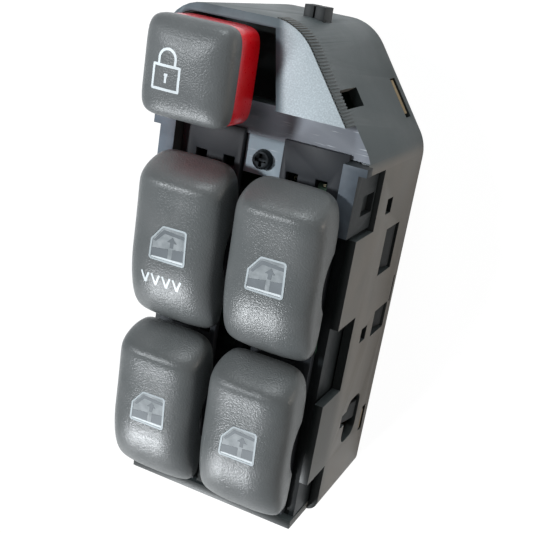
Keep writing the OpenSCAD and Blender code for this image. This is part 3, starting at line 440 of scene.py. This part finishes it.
# Height of the face over the level at its icon. Along the cap it is a rise with the fourth power up to the
# ridge, a falling power curve past it, both joined through w * log(1 + exp(d / w)), and a power curve
# that falls away over the near part. Across the cap it is a soft crown beside a flat middle.
def faceAlong(x, y, look):
    w, span = look["roll"], look["ridgeAt"] - look["bendAt"]
    left = w * np.log1p(np.exp(np.clip((look["ridgeAt"] - y) / w, -40, 40)))
    rise = np.clip(1 - left / span, 0, 1)
    past = w * np.log1p(np.exp(np.clip((y - look["ridgeAt"] + 0.3) / w, -40, 40)))
    before = np.clip(look["bendAt"] - y, 0, None)
    crown = look["crown"] * np.clip(np.abs(x) - look["flat"], 0, None) ** 1.8
    return look["ridge"] * rise ** 4 - 0.43 * past ** 1.6 - 0.0127 * before ** 2.15 - crown


# Shares of the way from the middle to the rim, at even steps along the shoulder's curve s^n + h^n = 1
def shoulderSteps(power, count, reach, height):
    a = np.linspace(0, math.pi / 2, 4000)
    s, h = np.sin(a) ** (2 / power), np.cos(a) ** (2 / power)
    along = np.concatenate([[0], np.cumsum(np.hypot(np.diff(s) * reach, np.diff(h) * height))])
    at = np.linspace(0, along[-1], count + 1)[1:]
    s = np.interp(at, along, s)
    return s, np.clip(1 - s ** power, 0, None) ** (1 / power)


# Faces between rings of points, with a fan at the pole and one flat face over the last ring
def ringFaces(rings, around):
    k = np.arange(around)
    m = (k + 1) % around
    faces = [[0, 1 + i, 1 + j] for i, j in zip(k, m)]
    for r in range(rings - 1):
        low, high = 1 + r * around, 1 + (r + 1) * around
        faces += np.stack([low + k, high + k, high + m, low + m], axis=1).tolist()
    faces.append((1 + (rings - 1) * around + k[::-1]).tolist())
    return faces


def solidFrom(name, points, faces):
    mesh = bpy.data.meshes.new(name)
    mesh.from_pydata(np.asarray(points).tolist(), [], faces)
    work = bmesh.new()
    work.from_mesh(mesh)
    bmesh.ops.recalc_face_normals(work, faces=work.faces)
    work.to_mesh(mesh)
    work.free()
    piece = bpy.data.objects.new(name, mesh)
    bpy.context.scene.collection.objects.link(piece)
    return piece


# Prism over an outline in millimetres
def prism(name, outline, low, high):
    outline = np.asarray(outline, float)
    n = len(outline)
    points = np.vstack([np.column_stack([outline, np.full(n, z)]) for z in (low, high)]) * mm
    k = np.arange(n)
    sides = np.stack([k, (k + 1) % n, (k + 1) % n + n, k + n], axis=1).tolist()
    return solidFrom(name, points, [k[::-1].tolist(), (k + n).tolist(), *sides])


def cutAway(piece, *cutters):
    for cutter in cutters:
        cut = piece.modifiers.new("cut", "BOOLEAN")
        cut.operation, cut.solver, cut.object = "DIFFERENCE", "EXACT", cutter
    applyAll(piece)
    for cutter in cutters:
        bpy.data.objects.remove(cutter)
    return piece


# Outline of the icon window about the cap's middle, with round corners
def roundOutline(corners, radius, steps=6):
    corners = np.asarray(corners, float)
    out = []
    for i, corner in enumerate(corners):
        before, after = corners[i - 1] - corner, corners[(i + 1) % len(corners)] - corner
        u, v = before / np.linalg.norm(before), after / np.linalg.norm(after)
        half = math.acos(float(np.clip(u @ v, -1, 1))) / 2
        reach = radius / math.tan(half)
        middle = corner + (u + v) / np.linalg.norm(u + v) * radius / math.sin(half)
        t = np.linspace(0, 1, steps + 1)[:, None]
        arc = (1 - t) * (corner + u * reach) + t * (corner + v * reach) - middle
        out.append(middle + arc / np.linalg.norm(arc, axis=1)[:, None] * radius)
    return np.vstack(out)


icon = {
    "outline": [(-4.6, -3.5), (4.75, -3.4), (4.35, 5.0), (-1.8, 4.85), (-4.5, 1.3)], "radius": 0.7, "depth": 1.2,
    "rim": 0.55
}


def rockerCapMesh():
    plan = capPlan(0.0, cap["around"])
    s, h = shoulderSteps(cap["shoulder"], cap["rings"], 14.0, cap["face"] - cap["rim"])
    flat = s[:, None, None] * plan[None]
    z = cap["rim"] + (cap["face"] + faceAlong(flat[..., 0], flat[..., 1], cap) - cap["rim"]) * h[:, None]
    skin = np.concatenate([flat, z[..., None]], axis=2).reshape(-1, 3)
    points = np.vstack([[0, 0, cap["face"]], skin]) * mm
    shell = solidFrom("cap_form", points, ringFaces(cap["rings"], cap["around"]))
    inner = capPlan(cap["wall"], 120)
    levels = [(1.0, cap["rim"] - 0.5), (0.985, cap["rim"] + 2), (0.93, cap["ceiling"] - 1.5), (0.84, cap["ceiling"])]
    rings = [np.column_stack([inner * share, np.full(120, z)]) for share, z in levels]
    k = np.arange(120)
    faces = [k[::-1].tolist(), (k + 360).tolist()]
    for r in range(3):
        faces += np.stack([k + 120 * r, (k + 1) % 120 + 120 * r, (k + 1) % 120 + 120 * (r + 1), k + 120 * (r + 1)], 1).tolist()
    hollow = solidFrom("hollow_form", np.vstack(rings) * mm, faces)
    half, height = cap["archLength"] / 2, cap["archHeight"]
    radius = (half ** 2 + height ** 2) / (2 * height)
    a = np.linspace(0, 2 * math.pi, 96, endpoint=False)
    circle = np.column_stack([radius * np.cos(a), cap["rim"] + height - radius + radius * np.sin(a)])
    ends = [np.column_stack([np.full(96, x), circle]) for x in (-13.0, 13.0)]
    k = np.arange(96)
    sides = np.stack([k, (k + 1) % 96, (k + 1) % 96 + 96, k + 96], axis=1).tolist()
    arch = solidFrom("arch_form", np.vstack(ends) * mm, [k[::-1].tolist(), (k + 96).tolist(), *sides])
    outline = roundOutline(icon["outline"], icon["radius"])
    pocket = prism("pocket_form", outline, cap["face"] - icon["depth"], cap["face"] + 2)
    return cutAway(shell, hollow, arch, pocket)


form = rockerCapMesh()
edge = form.modifiers.new("edges", "BEVEL")
edge.width, edge.segments = 0.12 * mm, 2
edge.limit_method, edge.angle_limit = "ANGLE", math.radians(50)
applyAll(form)
print("cap form:", len(form.data.polygons), "faces")

iconParts = {
    "roof": [(-3.75, 1.05), (-3.15, 0.85), (-1.15, 3.10), (3.75, 2.85), (3.75, 3.60), (-1.45, 3.90)],
    "arrow": [(-0.35, 1.45), (0.45, 1.45), (0.42, 0.25), (1.30, 0.25), (1.30, 1.45), (2.10, 1.45), (0.9, 2.75)],
    "left_panel": [(-4.0, -0.75), (0.15, -0.15), (0.15, -2.35), (-4.0, -2.60)],
    "right_panel": [(1.2, -0.05), (4.1, 0.35), (4.15, -2.1), (1.2, -2.3)]
}


def iconLens(name, at, body):
    outer = roundOutline(icon["outline"], icon["radius"]) * 0.985
    inner = roundOutline(np.asarray(icon["outline"]) * 0.985, icon["radius"])
    low, top = cap["face"] - icon["depth"], cap["face"]
    lens = prism(name + "_lens_form", outer, low, top - 0.08)
    return lens


# The icon lies on the lens as thin printed fields. The same thin fields also carry a painted reflection along the
# lens's near edge.
def printed(name, outline, at, low, high, slot, body):
    piece = prism(name, np.asarray(outline) + np.asarray(at), low, high)
    return dress(piece, slot, body)


printFinish = mouldedPlastic("icon_print", (0.130, 0.145, 0.158), 0.4)
paleFinish = mouldedPlastic("icon_pale", (0.42, 0.46, 0.48), 0.30)
whiteFinish = mouldedPlastic("white_print", (0.62, 0.66, 0.68), 0.38)
# Painted reflection for the near edge of the icon lens
paintedReflectionFinish = mouldedPlastic("icon_edge", (0.66, 0.70, 0.72), 0.28)


# A stroke of ink that lies on a curved face: two rows of points beside a line, at the face's height
def inkStroke(start, stop, width, height, steps=10):
    t = np.linspace(0, 1, steps + 1)[:, None]
    start, stop = np.asarray(start, float), np.asarray(stop, float)
    way = (stop - start) / np.linalg.norm(stop - start)
    line = start - way * width * 0.25 + t * (stop - start + way * width * 0.5)
    across = np.array([-way[1], way[0]]) * width / 2
    flat = np.vstack([line - across, line + across])
    k = np.arange(steps)
    faces = np.stack([k, k + 1, k + steps + 2, k + steps + 1], axis=1)
    return np.column_stack([flat, height(flat)]), faces


def inkPiece(name, strokes, width, height, at, slot, body):
    points, faces, count = [], [], 0
    for start, stop in strokes:
        p, f = inkStroke(start, stop, width, height)
        points.append(p)
        faces.append(f + count)
        count += len(p)
    points = (np.vstack(points) + [at[0], at[1], 0.0]) * mm
    piece = solidFrom(name, points, np.vstack(faces).tolist())
    thick = piece.modifiers.new("ink", "SOLIDIFY")
    thick.thickness, thick.offset = 0.04 * mm, 0.0
    applyAll(piece)
    dress(piece, slot, body)
    piece.data.materials[0] = whiteFinish.material
    return piece


def capHeight(flat):
    return cap["face"] + faceAlong(flat[:, 0], flat[:, 1], cap) + 0.03

for side, (x, y) in places.items():
    body = side + "_rocker"
    shell = bpy.data.objects.new(side + "_cap_shell", form.data.copy())
    bpy.context.scene.collection.objects.link(shell)
    shell.data.transform(Matrix.Translation((x * mm, y * mm, 0)))
    dress(shell, "cap_plastic", body, 40.0)
    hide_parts(side + "_cap")
    lens = iconLens(side, (x, y), body)
    lens.name = side + "_icon_lens"
    lens.data.transform(Matrix.Translation((x * mm, y * mm, 0)))
    dress(lens, "icon_lens", body)
    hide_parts(side + "_lens")
    outer = roundOutline(icon["outline"], icon["radius"]) * 0.985
    inner = roundOutline(np.asarray(icon["outline"]) * 0.885 + np.array([0.0, 0.08]), icon["radius"] * 0.7)
    rim = prism(side + "_icon_rim", outer + np.array([x, y]), cap["face"] - 0.3, cap["face"] + 0.02)
    hole = prism("hole_form", inner + np.array([x, y]), cap["face"] - 1, cap["face"] + 1)
    cutAway(rim, hole)
    dress(rim, "icon_lens", body)
    rim.data.materials[0] = paleFinish.material
    for part, outline in iconParts.items():
        piece = printed(f"{side}_icon_{part}", outline, (x, y), cap["face"] - 0.2, cap["face"] - 0.05, "icon_lens", body)
        piece.data.materials[0] = printFinish.material
    # A pale strip along the lens's near edge is a painted reflection of the key lamp
    edge = np.array([(-3.9, -2.95), (4.1, -2.8), (4.1, -2.3), (-3.9, -2.55)])
    shine = printed(side + "_icon_edge", edge, (x, y), cap["face"] - 0.2, cap["face"] - 0.05, "icon_lens", body)
    shine.data.materials[0] = paintedReflectionFinish.material
bpy.data.objects.remove(form)

# A row of four chevrons is printed under the driver's icon
chevron = {"first": -5.2, "pitch": 2.75, "half": 0.95, "top": -7.05, "low": -9.45, "width": 0.52}
strokes = []
for i in range(4):
    middle = chevron["first"] + i * chevron["pitch"]
    tip = (middle, chevron["low"])
    strokes += [((middle - chevron["half"], chevron["top"]), tip), ((middle + chevron["half"], chevron["top"]), tip)]
inkPiece("driver_chevrons", strokes, chevron["width"], capHeight, places["driver"], "cap_plastic", "driver_rocker")
print("rocker caps made")

# Lock button: a soft square cap over a glossy red sleeve
lock = {
    "place": (-12.1, 45.0), "half": (10.5, 10.5), "power": 0.3, "rim": 53.6, "top": 58.5, "shoulder": 3.3,
    "sleeveRim": 45.1, "inset": 0.15, "neck": 1.8, "ceiling": 55.8, "around": 200, "rings": 56
}


def lockPlan(inset, count):
    a = np.linspace(0, 2 * math.pi, 4000, endpoint=False)
    half = np.asarray(lock["half"]) - inset
    plan = np.stack([half[0] * soft(np.cos(a), lock["power"]), half[1] * soft(np.sin(a), lock["power"])], axis=1)
    return evenLoop(plan, count)


# Dome over the lock plan: the height falls with the square of the way out, times the shoulder's curve
def lockCapMesh():
    plan = lockPlan(0, lock["around"])
    s, h = shoulderSteps(lock["shoulder"], lock["rings"], 10.0, lock["top"] - lock["rim"])
    z = lock["rim"] + (lock["top"] - 0.45 * s ** 2 - lock["rim"]) * h
    skin = np.concatenate([s[:, None, None] * plan[None], np.repeat(z[:, None], lock["around"], 1)[..., None]], axis=2)
    points = np.vstack([[0, 0, lock["top"]], skin.reshape(-1, 3)])
    points[:, :2] += lock["place"]
    return solidFrom("lock_cap_shell", points * mm, ringFaces(lock["rings"], lock["around"]))


neck = prism("neck_form", lockPlan(lock["neck"], 120) + np.asarray(lock["place"]), lock["rim"] - 1, lock["ceiling"])
lockCap = cutAway(lockCapMesh(), neck)
dress(lockCap, "lock_grey", "lock_button", 40.0)
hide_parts("lock_cap")

# Sleeve: the same plan, a little inside the cap, open below, with a rounded lower rim
sleeve = prism("lock_sleeve_shell", lockPlan(lock["inset"], 160) + np.asarray(lock["place"]), lock["sleeveRim"], lock["rim"] - 0.05)
hollow = prism("hollow_form", lockPlan(1.65, 120) + np.asarray(lock["place"]), lock["sleeveRim"] - 1, lock["rim"] - 1.4)
cutAway(sleeve, hollow)
edge = sleeve.modifiers.new("edges", "BEVEL")
edge.width, edge.segments = 0.25 * mm, 3
edge.limit_method, edge.angle_limit = "ANGLE", math.radians(50)
applyAll(sleeve)
dress(sleeve, "red_plastic", "lock_button", 30.0)
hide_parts("lock_sleeve")


# Height of the dome at a point: its share of the way out is the superellipse norm of the point
def lockHeight(flat):
    u, v = np.abs(flat[:, 0]) / lock["half"][0], np.abs(flat[:, 1]) / lock["half"][1]
    s = (u ** (2 / lock["power"]) + v ** (2 / lock["power"])) ** (lock["power"] / 2)
    curve = (1 - s ** lock["shoulder"]) ** (1 / lock["shoulder"])
    return lock["rim"] + (lock["top"] - 0.45 * s ** 2 - lock["rim"]) * curve + 0.03


# A padlock is printed on the lock cap
padlock = {"middle": (-3.3, -1.9), "half": (3.1, 2.4), "shackle": 1.95, "rise": 1.4, "width": 0.55}
cx, cy = padlock["middle"]
hx, hy = padlock["half"]
corners = [(cx - hx, cy - hy), (cx + hx, cy - hy), (cx + hx, cy + hy), (cx - hx, cy + hy)]
strokes = [(corners[i - 1], corners[i]) for i in range(4)]
angles = np.linspace(0, math.pi, 15)
arc = np.column_stack([cx + padlock["shackle"] * np.cos(angles), cy + hy + padlock["rise"] + padlock["shackle"] * np.sin(angles)])
strokes += list(zip(arc[:-1], arc[1:]))
strokes += [((x, cy + hy), (x, cy + hy + padlock["rise"])) for x in (cx - padlock["shackle"], cx + padlock["shackle"])]
strokes += [((cx, cy + 0.7), (cx, cy - 0.9)), ((cx - 0.3, cy + 0.6), (cx + 0.3, cy + 0.6))]
inkPiece("lock_padlock", strokes, padlock["width"], lockHeight, lock["place"], "lock_grey", "lock_button")
print("lock button made")

# Floor, lamps and world
studio = {"rays": ("Is Camera Ray", "Is Glossy Ray", "Is Transmission Ray"), "gloss": 0.3, "floor": 3.0, "key": (-0.41, -0.75, 0.51), "keyPower": 11.8, "keySize": (0.13, 0.50), "distance": 1.2}
middle = Vector((0.0, 0.0, 0.035))


def lamp(name, direction, distance, size, power, colour):
    data = bpy.data.lights.new(name, "AREA")
    data.energy, data.color = power, colour
    if isinstance(size, tuple):
        data.shape, data.size, data.size_y = "RECTANGLE", *size
    else:
        data.shape, data.size = "DISK", size
    lampObject = bpy.data.objects.new(name, data)
    way = Vector(direction).normalized()
    lampObject.location = middle + way * distance
    lampObject.rotation_mode = "QUATERNION"
    lampObject.rotation_quaternion = (-way).to_track_quat("-Z", "Y")
    bpy.context.scene.collection.objects.link(lampObject)
    return lampObject


lamp("key", studio["key"], studio["distance"], studio["keySize"], studio["keyPower"], (0.93, 0.97, 1.0))
lamp("side", (0.97, 0.22, 0.05), 0.7, 0.3, 1.1, (1.0, 0.90, 0.78))
lamp("back", (-0.10, 0.85, 0.38), 0.42, 0.14, 0.6, (0.92, 0.98, 1.0))
lamp("top", (-0.46, 0.17, 0.87), 0.8, 0.09, 3.5, (0.93, 0.97, 1.0))

floorMesh = bpy.data.meshes.new("floor")
half = studio["floor"] / 2
floorMesh.from_pydata([(-half, -half, 0), (half, -half, 0), (half, half, 0), (-half, half, 0)], [], [(0, 1, 2, 3)])
floor = bpy.data.objects.new("floor", floorMesh)
bpy.context.scene.collection.objects.link(floor)
paper = Finish("paper", Base_Color=(0.86, 0.86, 0.86, 1.0), Roughness=0.8)
glow = paper.node("ShaderNodeEmission", sockets={0: (1.0, 1.0, 1.0, 1.0), 1: 1.08})
seen, glossy, through = (paper.node("ShaderNodeLightPath", out=ray) for ray in studio["rays"])
share = seen * 0.90 + glossy * studio["gloss"] + through
shown = paper.node("ShaderNodeMixShader", sockets={0: share.least(1.0), 1: Wire(paper, paper.shader.outputs[0]), 2: glow})
paper.tree.links.new(shown.socket, paper.tree.nodes["Material Output"].inputs[0])
floorMesh.materials.append(paper.material)

world = bpy.data.worlds.new("room")
bpy.context.scene.world = world
world.use_nodes = True
room = world.node_tree
background = room.nodes["Background"]
background.inputs[0].default_value = (0.93, 0.96, 1.0, 1.0)
background.inputs[1].default_value = 0.11
white = room.nodes.new("ShaderNodeBackground")
white.inputs[0].default_value = (1.0, 1.0, 1.0, 1.0)
path = room.nodes.new("ShaderNodeLightPath")
gloss = room.nodes.new("ShaderNodeMath")
gloss.operation, gloss.inputs[1].default_value = "MULTIPLY", studio["gloss"]
room.links.new(path.outputs["Is Glossy Ray"], gloss.inputs[0])
behind = room.nodes.new("ShaderNodeMath")
room.links.new(path.outputs["Is Camera Ray"], behind.inputs[0])
room.links.new(path.outputs["Is Transmission Ray"], behind.inputs[1])
total = room.nodes.new("ShaderNodeMath")
total.use_clamp = True
room.links.new(gloss.outputs[0], total.inputs[0])
room.links.new(behind.outputs[0], total.inputs[1])
both = room.nodes.new("ShaderNodeMixShader")
room.links.new(total.outputs[0], both.inputs[0])
room.links.new(background.outputs[0], both.inputs[1])
room.links.new(white.outputs[0], both.inputs[2])
room.links.new(both.outputs[0], room.nodes["World Output"].inputs[0])
print("studio lit")
